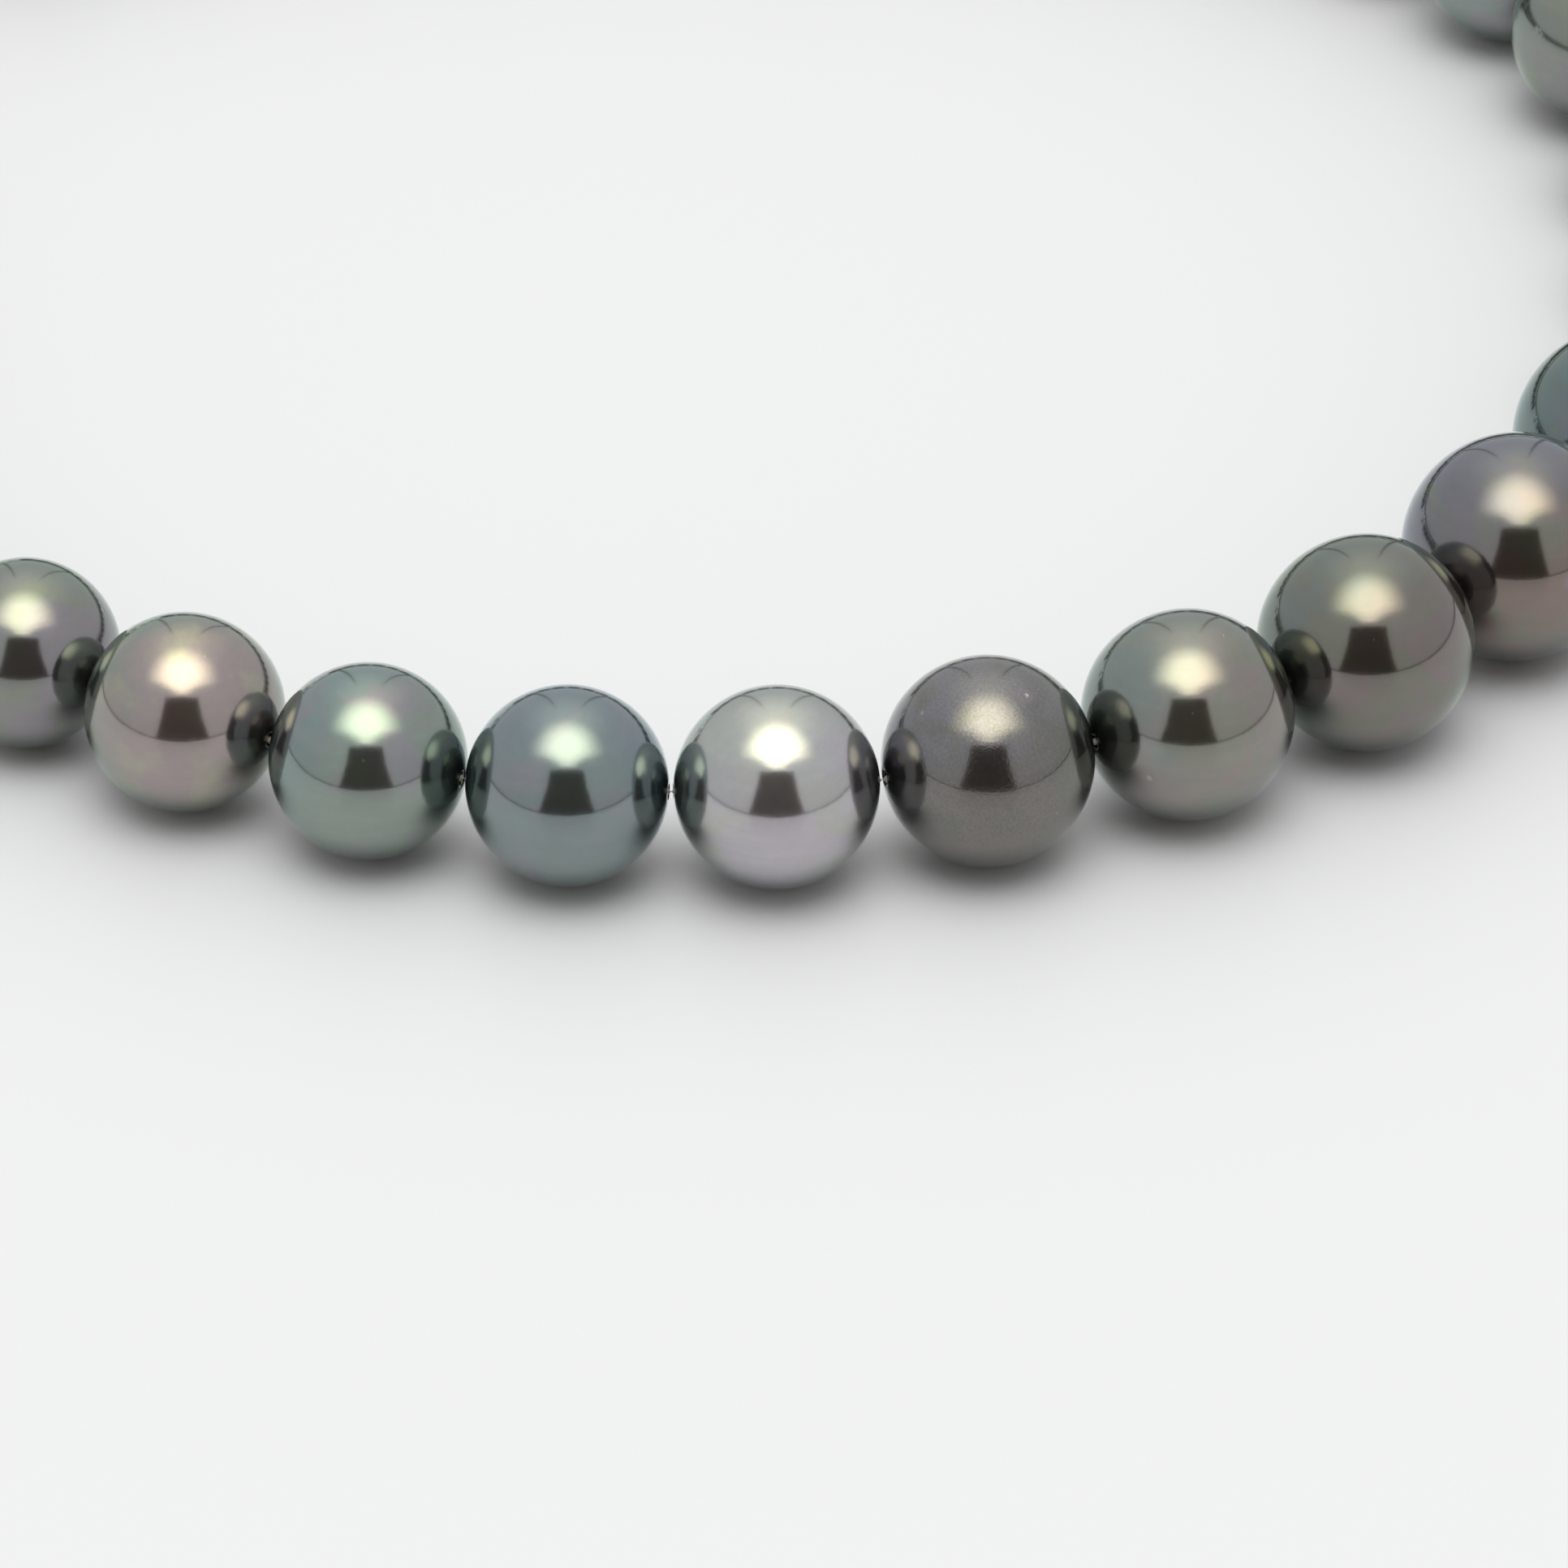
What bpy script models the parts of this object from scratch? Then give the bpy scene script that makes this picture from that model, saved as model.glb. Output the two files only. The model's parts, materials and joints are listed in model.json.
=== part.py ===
"""Pearl necklace: a graduated strand of dark pearls on one silk thread, with a ball clasp.

The strand lies in an egg-shaped ring on a flat surface, front pearl towards -Y. The clasp is at the
back and is undone. Every pearl is drilled through and turns about the gap between it and the next.
A pearl's object origin is on that gap, on the side of the front pearl, and its local +X runs along
its drill hole away from the front pearl.
"""

import math

import bmesh
import bpy
from mathutils import Vector

# Strand, in metres
PEARLS_PER_SIDE = 15
FRONT_PEARL = 0.0142
END_PEARL = 0.0110
FADE_PEARLS = 5.0
FADE_POWER = 1.15
LEFT_MATCHING = (0.25, -0.10, -0.15, 0.10, -0.10, 0.0, 0.0, 0.40, 0.05)
RIGHT_MATCHING = 0.12
MILLIMETRE = 0.001
PEARL_GAP = 0.0003
DRILL_RADIUS = 0.00055
THREAD_RADIUS = 0.0003

# Lay of the strand on the surface
LAY_HALF_WIDTH = 0.0652
LAY_FRONT = 0.0628
LAY_BACK = 0.0708
LAY_SHIFT = -0.00297

# Facets of a pearl: the middle band and one of its sides make the flat that it rests on
PEARL_SIDES = 16
BAND = math.radians(24)
BANDS = 5
FACET_GROWTH = 1 / (math.cos(BAND / 2) * math.cos(math.pi / PEARL_SIDES))

# Loops of thread-covering wire at both ends, and the clasp rings that hang in them
KNOT_LENGTH = 0.0014
KNOT_SWELL = 2.3
LOOP_START = 0.0017
LOOP_WIRE = 0.0004
LOOP_HALF_LENGTH = 0.0012
LOOP_HALF_HEIGHT = 0.0011
LINK_REACH = LOOP_START + LOOP_WIRE + 2 * LOOP_HALF_LENGTH
RING_RADIUS = 0.0013
RING_WIRE = 0.00035
RING_OFFSET = 0.00025
FIT_GAP = 0.0003
RING_END = RING_OFFSET + RING_RADIUS + RING_WIRE + FIT_GAP

# Ball of the clasp, along local +X from its hinge
BALL_RADIUS = 0.0054
BALL_BORE = 0.0048
BALL_CENTRE = RING_END + BALL_RADIUS
MOUTH_DEPTH = 0.0047
MOUTH_RADIUS = 0.0023
NOTCH_WIDTH = 0.0018
NOTCH_DEPTH = 0.0014
PLATE_RADIUS = 0.0020
PLATE_THICKNESS = 0.0005
SLOT_WIDTH = 0.0032
SLOT_LOW = -0.00065
SLOT_HIGH = 0.00085

# Tongue of the clasp, along local +X from its hinge
COLLAR_RADIUS = 0.0024
COLLAR_LENGTH = 0.0010
COLLAR_END = RING_END + COLLAR_LENGTH
TONGUE_LENGTH = 0.0065
LEAF_WIDTH = 0.0030
LEAF_THICKNESS = 0.00032
LOWER_LEAF_Z = -0.00032
FOLD_X = COLLAR_END + TONGUE_LENGTH - 0.0002
FOLD_Z = 0.0003
LEAF_RISE = math.radians(12)
SHOULDER = 0.0044
NECK_END = 0.0058
NECK_WIDTH = 0.0012
TAB_WIDTH = 0.0018
TAB_HEIGHT = 0.0016
TAB_LENGTH = 0.0007

# Colour, roughness, metallic
LOOKS = {
    "green": ((0.105, 0.128, 0.112), 0.16, 0.55),
    "grey": ((0.135, 0.150, 0.148), 0.16, 0.55),
    "slate": ((0.120, 0.148, 0.165), 0.16, 0.55),
    "silver": ((0.230, 0.225, 0.240), 0.16, 0.55),
    "rose": ((0.190, 0.165, 0.165), 0.16, 0.55),
    "aubergine": ((0.098, 0.085, 0.092), 0.16, 0.55),
    "silk": ((0.62, 0.58, 0.50), 0.85, 0.0),
    "white_gold": ((0.78, 0.77, 0.74), 0.14, 1.0),
    "gimp": ((0.72, 0.71, 0.68), 0.30, 1.0),
}


# Body colours of the pearls, from the front pearl's neighbour to the clasp
FRONT_TONE = "slate"
LEFT_TONES = ("aubergine", "green", "grey", "aubergine", "silver", "slate", "slate", "rose")
RIGHT_TONES = ("green", "aubergine", "slate", "green", "slate", "grey", "rose")


def clear_scene():
    for item in list(bpy.data.objects):
        bpy.data.objects.remove(item, do_unlink=True)


def material(name, look):
    """A Principled material of one colour, roughness and metallic value."""
    colour, roughness, metallic = LOOKS[look]
    made = bpy.data.materials.new(name)
    made.use_nodes = True
    shader = made.node_tree.nodes["Principled BSDF"]
    shader.inputs["Base Color"].default_value = (*colour, 1.0)
    shader.inputs["Roughness"].default_value = roughness
    shader.inputs["Metallic"].default_value = metallic
    return made


def link(name, data, look, location=(0, 0, 0), heading=0.0, parent=None):
    item = bpy.data.objects.new(name, data)
    bpy.context.scene.collection.objects.link(item)
    data.materials.append(material(name, look))
    item.location = location
    item.rotation_euler = (0.0, 0.0, heading)
    item.parent = parent
    return item


def empty(name, location, heading):
    item = bpy.data.objects.new(name, None)
    bpy.context.scene.collection.objects.link(item)
    item.location = location
    item.rotation_euler = (0.0, 0.0, heading)
    return item


def mesh_from(name, shape, smooth=False):
    bmesh.ops.recalc_face_normals(shape, faces=shape.faces)
    mesh = bpy.data.meshes.new(name)
    shape.to_mesh(mesh)
    shape.free()
    if smooth:
        mesh.shade_smooth()
        mesh.set_sharp_from_angle(angle=math.radians(50))
    return mesh


def turned(name, profile, centre, sides, start=0.0, smooth=True):
    """Turns a closed outline of (along X, away from X) points about the X axis."""
    shape = bmesh.new()
    rise = Vector((0.0, math.sin(start), math.cos(start)))
    corners = [shape.verts.new(Vector((centre + x, 0, 0)) + rise * away) for x, away in profile]
    edges = [shape.edges.new((a, b)) for a, b in zip(corners, corners[1:] + corners[:1])]
    bmesh.ops.spin(
        shape,
        geom=corners + edges,
        cent=(0, 0, 0),
        axis=(1, 0, 0),
        angle=2 * math.pi,
        steps=sides,
        use_merge=True,
    )
    bmesh.ops.remove_doubles(shape, verts=shape.verts, dist=1e-6)
    return mesh_from(name, shape, smooth)


# The strand's layout

def pearl_diameter(side, place):
    """Diameter of a pearl: largest at the front, fading towards the clasp, each one hand matched."""
    fade = math.exp(-((place / FADE_PEARLS) ** FADE_POWER))
    diameter = END_PEARL + (FRONT_PEARL - END_PEARL) * fade
    if side < 0 and 0 < place <= len(LEFT_MATCHING):
        diameter += LEFT_MATCHING[place - 1] * MILLIMETRE
    elif place:
        diameter += RIGHT_MATCHING * math.sin(2.1 * place + side) * MILLIMETRE
    return diameter


def lay_point(turn):
    """Point of the egg-shaped lay at an angle about its middle, 0 towards +X."""
    depth = LAY_BACK if math.sin(turn) > 0 else LAY_FRONT
    return Vector((LAY_HALF_WIDTH * math.cos(turn), depth * math.sin(turn), 0.0))


def next_turn(turn, chord):
    """Angle of the lay's point that is one chord further round."""
    low, high = turn, turn + 0.6
    for _ in range(50):
        middle = (low + high) / 2
        if (lay_point(middle) - lay_point(turn)).length < chord:
            low = middle
        else:
            high = middle
    return high


def side_of_strand(side):
    """[(gap point, heading, radius)] for one side, from the front pearl's neighbour to the clasp."""
    half = (FRONT_PEARL + PEARL_GAP) / 2
    turn = -math.acos(half / LAY_HALF_WIDTH)
    found = []
    for place in range(1, PEARLS_PER_SIDE + 1):
        diameter = pearl_diameter(side, place)
        after = next_turn(turn, diameter + PEARL_GAP)
        start, end = lay_point(turn), lay_point(after)
        along = end - start
        heading = math.atan2(along.y, side * along.x)
        found.append((Vector((side * start.x, start.y + LAY_SHIFT, 0.0)), heading, diameter / 2))
        turn = after
    return found


def ahead(heading, distance):
    return Vector((math.cos(heading), math.sin(heading), 0.0)) * distance


def link_point(placed):
    """Hinge point between an end loop and the clasp ring that hangs in it."""
    start, heading, radius = placed
    reach = 2 * radius + PEARL_GAP / 2 + LINK_REACH
    return start + ahead(heading, reach) + Vector((0, 0, radius))


# Pieces of the strand

def pearl_mesh(name, radius, centre):
    """Faceted ball with a drill hole, whose lowest facet is level and one radius below its middle."""
    end = math.sqrt(radius**2 - DRILL_RADIUS**2)
    grown = radius * FACET_GROWTH
    first = math.pi / 2 - BANDS * BAND / 2
    profile = [(-end, DRILL_RADIUS)]
    for step in range(BANDS + 1):
        angle = first + step * BAND
        profile.append((-grown * math.cos(angle), grown * math.sin(angle)))
    profile.append((end, DRILL_RADIUS))
    return turned(name, profile, centre, PEARL_SIDES, start=math.pi / PEARL_SIDES)


def add_pearl(name, tone, start, heading, radius):
    mesh = pearl_mesh(name, radius, radius + PEARL_GAP / 2)
    return link(name, mesh, tone, start + Vector((0, 0, radius)), heading)


def add_front_pearl():
    radius = FRONT_PEARL / 2
    half = (FRONT_PEARL + PEARL_GAP) / 2
    depth = lay_point(-math.acos(half / LAY_HALF_WIDTH)).y
    mesh = pearl_mesh("pearl_front", radius, 0.0)
    place = (0.0, depth + LAY_SHIFT, radius)
    return link("pearl_front", mesh, FRONT_TONE, place)


def tube(name, points, wire, look, closed=False, swells=None, parent=None):
    """Round wire along points, drawn as a curve with filled ends."""
    curve = bpy.data.curves.new(name, "CURVE")
    curve.dimensions = "3D"
    curve.bevel_depth = wire
    curve.bevel_resolution = 2
    curve.use_fill_caps = not closed
    spline = curve.splines.new("POLY")
    spline.points.add(len(points) - 1)
    for number, point in enumerate(points):
        spline.points[number].co = (*point, 1.0)
        spline.points[number].radius = swells[number] if swells else 1.0
    spline.use_cyclic_u = closed
    return link(name, curve, look, parent=parent)


def knot_points(placed):
    """Points and swells of the thread's end knot, just past the last pearl."""
    start, heading, radius = placed
    first = 2 * radius + PEARL_GAP / 2 + 0.0001
    shape = [(0.0, 1.0), (0.15, 1.6), (0.5, KNOT_SWELL), (0.85, 1.6), (1.0, 1.0)]
    middle = Vector((0, 0, radius))
    places = [start + ahead(heading, first + part * KNOT_LENGTH) + middle for part, _ in shape]
    return places, [swell for _, swell in shape]


def side_route(placed):
    """Thread points of one side: the middle of each gap and each pearl, then the end knot."""
    points = []
    before = FRONT_PEARL / 2
    for start, heading, radius in placed:
        points.append(start + Vector((0, 0, (before + radius) / 2)))
        points.append(start + ahead(heading, radius + PEARL_GAP / 2) + Vector((0, 0, radius)))
        before = radius
    return points


def add_thread(left, right, front):
    left_route, right_route = side_route(left), side_route(right)
    left_knot, swells = knot_points(left[-1])
    right_knot, _ = knot_points(right[-1])
    points = [*reversed(left_knot), *reversed(left_route), Vector(front.location)]
    points += [*right_route, *right_knot]
    plain = [1.0] * (len(left_route) + 1 + len(right_route))
    tube("silk_thread", points, THREAD_RADIUS, "silk", swells=[*reversed(swells), *plain, *swells])


def ring_points(half_long, half_wide, middle, count, upright):
    """Points of an oval about middle on local X, standing upright or lying level."""
    points = []
    for number in range(count):
        angle = 2 * math.pi * number / count
        across = half_wide * math.sin(angle)
        along = middle + half_long * math.cos(angle)
        points.append((along, 0.0, across) if upright else (along, across, 0.0))
    return points


def add_end_loop(name, pearl, radius):
    middle = 2 * radius + PEARL_GAP / 2 + LOOP_START + LOOP_WIRE + LOOP_HALF_LENGTH
    points = ring_points(LOOP_HALF_LENGTH, LOOP_HALF_HEIGHT, middle, 16, upright=True)
    tube(name, points, LOOP_WIRE, "gimp", closed=True, parent=pearl)


def add_clasp_ring(name, hinge):
    points = ring_points(RING_RADIUS, RING_RADIUS, RING_OFFSET, 16, upright=False)
    tube(name, points, RING_WIRE, "white_gold", closed=True, parent=hinge)


# Clasp

def block(name, low, high, look, parent, location=(0, 0, 0)):
    """A box between two corners of its own frame."""
    shape = bmesh.new()
    bmesh.ops.create_cube(shape, size=1.0)
    for corner in shape.verts:
        corner.co = Vector([low[i] + (corner.co[i] + 0.5) * (high[i] - low[i]) for i in range(3)])
    return link(name, mesh_from(name, shape), look, location, parent=parent)


def cut(item, cutter):
    cutter.hide_render = True
    cutter.display_type = "WIRE"
    change = item.modifiers.new(cutter.name, "BOOLEAN")
    change.operation = "DIFFERENCE"
    change.solver = "EXACT"
    change.object = cutter


def add_ball_shell(hinge):
    """Hollow ball with a round mouth at +X and a notch for the thumb tab in the top of its rim."""
    first = math.acos(MOUTH_DEPTH / BALL_RADIUS)
    inner = math.asin(MOUTH_RADIUS / BALL_BORE)
    steps = 8
    outline = []
    for step in range(steps + 1):
        angle = first + (math.pi - first) * step / steps
        outline.append((BALL_RADIUS * math.cos(angle), BALL_RADIUS * math.sin(angle)))
    for step in range(steps + 1):
        angle = math.pi - (math.pi - inner) * step / steps
        outline.append((BALL_BORE * math.cos(angle), BALL_BORE * math.sin(angle)))
    mesh = turned("clasp_ball_shell", outline, BALL_CENTRE, 20)
    shell = link("clasp_ball_shell", mesh, "white_gold", parent=hinge)
    mouth = BALL_CENTRE + MOUTH_DEPTH
    low = (mouth - NOTCH_DEPTH, -NOTCH_WIDTH / 2, MOUTH_RADIUS * 0.7)
    high = (mouth + NOTCH_DEPTH, NOTCH_WIDTH / 2, BALL_RADIUS)
    cut(shell, block("notch_cutter", low, high, "white_gold", hinge))


def add_mouth_plate(hinge):
    """Disc in the mouth, with the slot that the tongue goes through and catches behind."""
    mouth = BALL_CENTRE + MOUTH_DEPTH
    outline = [
        (-PLATE_THICKNESS, 0.0),
        (-PLATE_THICKNESS, PLATE_RADIUS),
        (0.0, PLATE_RADIUS),
        (0.0, 0.0),
    ]
    mesh = turned("clasp_mouth_plate", outline, mouth, 24)
    plate = link("clasp_mouth_plate", mesh, "white_gold", parent=hinge)
    low = (mouth - 2 * PLATE_THICKNESS, -SLOT_WIDTH / 2, SLOT_LOW)
    high = (mouth + PLATE_THICKNESS, SLOT_WIDTH / 2, SLOT_HIGH)
    cut(plate, block("slot_cutter", low, high, "white_gold", hinge))


def add_collar(hinge):
    """Round plate that the tongue stands on, and that meets the ball's mouth when closed."""
    outline = [(0.0, 0.0), (0.0, COLLAR_RADIUS), (COLLAR_LENGTH, COLLAR_RADIUS), (COLLAR_LENGTH, 0.0)]
    mesh = turned("clasp_tongue_collar", outline, RING_END, 24)
    link("clasp_tongue_collar", mesh, "white_gold", parent=hinge)


def add_lower_leaf(hinge):
    low = (COLLAR_END + FIT_GAP, -LEAF_WIDTH / 2, LOWER_LEAF_Z - LEAF_THICKNESS / 2)
    high = (COLLAR_END + TONGUE_LENGTH, LEAF_WIDTH / 2, LOWER_LEAF_Z + LEAF_THICKNESS / 2)
    block("clasp_lower_leaf", low, high, "white_gold", hinge)


def add_spring_leaf(hinge):
    """Upper leaf: a T-shaped plate from the fold back to its neck, risen about the fold."""
    half, neck = LEAF_WIDTH / 2, NECK_WIDTH / 2
    outline = [(0.0, -half), (0.0, half), (-SHOULDER, half), (-SHOULDER, neck)]
    outline += [(-NECK_END, neck), (-NECK_END, -neck), (-SHOULDER, -neck), (-SHOULDER, -half)]
    shape = bmesh.new()
    base = [shape.verts.new((x, y, -LEAF_THICKNESS / 2)) for x, y in outline]
    face = shape.faces.new(base)
    grown = bmesh.ops.extrude_face_region(shape, geom=[face])["geom"]
    corners = [item for item in grown if isinstance(item, bmesh.types.BMVert)]
    bmesh.ops.translate(shape, verts=corners, vec=(0, 0, LEAF_THICKNESS))
    mesh = mesh_from("clasp_spring_leaf", shape)
    leaf = link("clasp_spring_leaf", mesh, "white_gold", (FOLD_X, 0, FOLD_Z), parent=hinge)
    leaf.rotation_euler = (0.0, LEAF_RISE, 0.0)
    return leaf


def add_thumb_tab(leaf):
    base = LEAF_THICKNESS / 2 + FIT_GAP
    low = (-NECK_END, -TAB_WIDTH / 2, base)
    high = (-NECK_END + TAB_LENGTH, TAB_WIDTH / 2, base + TAB_HEIGHT)
    block("clasp_thumb_tab", low, high, "white_gold", leaf)


def build():
    clear_scene()
    left, right = side_of_strand(-1), side_of_strand(1)
    front = add_front_pearl()
    ends = {}
    for name, placed, tones in (("left", left, LEFT_TONES), ("right", right, RIGHT_TONES)):
        for place, (start, heading, radius) in enumerate(placed, 1):
            tone = tones[(place - 1) % len(tones)]
            title = f"pearl_{name}_{place:02d}"
            ends[name] = add_pearl(title, tone, start, heading, radius)
    add_thread(left, right, front)
    add_end_loop("loop_left", ends["left"], left[-1][2])
    add_end_loop("loop_right", ends["right"], right[-1][2])
    left_link, right_link = link_point(left[-1]), link_point(right[-1])
    across = right_link - left_link
    heading = math.atan2(across.y, across.x)
    ball_hinge = empty("ball_hinge", left_link, heading)
    tongue_hinge = empty("tongue_hinge", right_link, heading + math.pi)
    add_clasp_ring("clasp_ball_ring", ball_hinge)
    add_ball_shell(ball_hinge)
    add_mouth_plate(ball_hinge)
    add_clasp_ring("clasp_tongue_ring", tongue_hinge)
    add_collar(tongue_hinge)
    add_lower_leaf(tongue_hinge)
    add_thumb_tab(add_spring_leaf(tongue_hinge))


build()
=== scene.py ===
"""Looks of a graduated pearl necklace: dark overtoned pearls on silk, with a white gold ball clasp.

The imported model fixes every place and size. Each pearl, thread stretch, end loop and clasp piece is
a surface computed here around it, and moves with its own body.
"""

import json
import math

import bmesh
import bpy
import numpy as np
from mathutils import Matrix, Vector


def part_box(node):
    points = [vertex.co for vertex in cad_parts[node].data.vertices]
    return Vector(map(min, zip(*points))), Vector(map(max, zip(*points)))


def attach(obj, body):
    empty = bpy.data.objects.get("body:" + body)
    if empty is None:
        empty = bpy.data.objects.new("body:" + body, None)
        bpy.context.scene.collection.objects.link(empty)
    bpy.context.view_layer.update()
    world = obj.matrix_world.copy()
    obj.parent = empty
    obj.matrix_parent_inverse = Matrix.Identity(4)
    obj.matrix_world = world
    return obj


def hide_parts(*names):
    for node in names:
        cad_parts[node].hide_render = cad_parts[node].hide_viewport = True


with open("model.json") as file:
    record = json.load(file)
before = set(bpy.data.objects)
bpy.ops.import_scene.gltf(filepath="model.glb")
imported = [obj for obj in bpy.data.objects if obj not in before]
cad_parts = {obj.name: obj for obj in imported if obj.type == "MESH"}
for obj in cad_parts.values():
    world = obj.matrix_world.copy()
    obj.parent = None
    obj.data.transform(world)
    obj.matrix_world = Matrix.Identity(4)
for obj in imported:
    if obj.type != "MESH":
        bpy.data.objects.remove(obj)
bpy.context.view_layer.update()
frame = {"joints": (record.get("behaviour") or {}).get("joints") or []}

# View: where the camera stands, in metres, and how it is turned
CAMERA_PLACE = (-0.38585, -0.20156, 0.26644)
VIEW_TURN = math.radians(63.21)
VIEW_TILT = math.radians(35.14)
LENS_MM = 177.5

# Strand
PEARLS_PER_SIDE = 15
DRILL_RADIUS = 0.00042
DRILL_ROUNDING = 0.00012
LONG_ALONG_BORE = 1.009
THREAD_RADIUS = 0.00022
THREAD_PLIES = 3
THREAD_LAY = 0.0010
THREAD_END = 0.00012
HALF_GAP = 0.00015

# End knots and wire-covered loops
KNOT_MIDDLE = 0.0010
KNOT_SIZE = 0.00015
KNOT_THREAD = 0.00025
LOOP_START = 0.0017
LOOP_HALF_LENGTH = 0.0012
LOOP_HALF_HEIGHT = 0.0011
LOOP_THICK = 0.0004
COIL_WIRE = 0.00009
COIL_TURNS = 34
CORE_RADIUS = 0.00024

# Clasp, along local +X from its hinge
RING_OFFSET = 0.00025
RING_RADIUS = 0.0013
RING_WIRE = 0.00035
RING_END = 0.0022
BALL_RADIUS = 0.0054
WALL = 0.0006
BALL_CENTRE = RING_END + BALL_RADIUS
MOUTH_DEPTH = 0.0047
NOTCH_HALF_WIDTH = 0.0010
NOTCH_DEPTH = 0.0014
PLATE_RADIUS = 0.00232
PLATE_THICKNESS = 0.0005
SLOT_HALF_WIDTH = 0.0016
SLOT_HALF_HEIGHT = 0.00075
SLOT_MIDDLE = 0.0001
COLLAR_RADIUS = 0.0024
COLLAR_LENGTH = 0.0010
COLLAR_END = RING_END + COLLAR_LENGTH
LEAF_HALF_WIDTH = 0.0015
LEAF_HALF_THICKNESS = 0.00016
LOWER_LEAF_Z = -0.00032
FOLD_X = COLLAR_END + 0.0063
FOLD_Z = 0.0003
LEAF_RISE = math.radians(12)
SHOULDER = 0.0044
NECK_END = 0.0058
NECK_HALF_WIDTH = 0.0006
TAB_HALF_WIDTH = 0.0009
TAB_HALF_LENGTH = 0.00035
TAB_LOW = 0.0001
TAB_HIGH = 0.00206

joints = {joint["name"]: joint for joint in frame["joints"]}


# Surfaces


def surface(name, grid, wrap_rows=False, wrap_columns=True):
    """A quad mesh over a grid of points; rows and columns may close on themselves.

    Face (i, j) joins points (i, j), (i, j+1), (i+1, j+1) and (i+1, j), counted round where wrapped.
    """
    rows, columns = grid.shape[:2]
    i = np.arange(rows if wrap_rows else rows - 1)[:, None]
    j = np.arange(columns if wrap_columns else columns - 1)[None, :]
    after_i, after_j = (i + 1) % rows, (j + 1) % columns
    corners = [i * columns + j, i * columns + after_j, after_i * columns + after_j]
    corners.append(after_i * columns + j)
    faces = np.stack(np.broadcast_arrays(*corners), -1).reshape(-1, 4)
    mesh = bpy.data.meshes.new(name)
    mesh.from_pydata(grid.reshape(-1, 3).tolist(), [], faces.tolist())
    shape = bmesh.new()
    shape.from_mesh(mesh)
    bmesh.ops.remove_doubles(shape, verts=shape.verts, dist=2e-8)
    bmesh.ops.recalc_face_normals(shape, faces=shape.faces)
    shape.to_mesh(mesh)
    shape.free()
    mesh.shade_smooth()
    item = bpy.data.objects.new(name, mesh)
    bpy.context.scene.collection.objects.link(item)
    return item


def unit(vectors):
    return vectors / np.linalg.norm(vectors, axis=-1, keepdims=True)


def axes_of(origin, along, up=(0, 0, 1)):
    """A frame as (origin, 3x3 rows along, across, up) from a direction and roughly up."""
    along = unit(np.array(along, float))
    across = unit(np.cross(up, along))
    return np.array(origin, float), np.stack([along, across, np.cross(along, across)])


def placed(points, axes):
    """Local (along, across, up) points carried into the model's frame."""
    origin, rows = axes
    return points @ rows + origin


def tube(path, radius, sides, guide, closed):
    """Grid round a path: path + radius * (cos a * n + sin a * b), n the guide square to the path.

    radius is one number or an array over (path, sides).
    """
    if closed:
        tangent = unit(np.roll(path, -1, 0) - np.roll(path, 1, 0))
    else:
        tangent = unit(np.gradient(path, axis=0))
    side = unit(guide - (guide * tangent).sum(-1, keepdims=True) * tangent)
    other = np.cross(tangent, side)
    angle = np.linspace(0, 2 * np.pi, sides, endpoint=False)
    ring = side[:, None] * np.cos(angle)[None, :, None] + other[:, None] * np.sin(angle)[None, :, None]
    reach = np.broadcast_to(radius, (len(path), sides))[..., None]
    return path[:, None] + ring * reach


def turned(profile, sides=96):
    """Grid of a profile of (along, away) points turned about the local X axis."""
    angle = np.linspace(0, 2 * np.pi, sides, endpoint=False)[None, :]
    along, away = profile[:, 0:1], profile[:, 1:2]
    flat = np.broadcast_to(along, (len(profile), sides))
    return np.stack([flat, away * np.cos(angle), away * np.sin(angle)], -1)


def soft_step(value, low, high):
    """0 below low, 1 above high, with a smooth rise between."""
    t = np.clip((value - low) / (high - low), 0, 1)
    return t * t * (3 - 2 * t)


# Shader building


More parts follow.
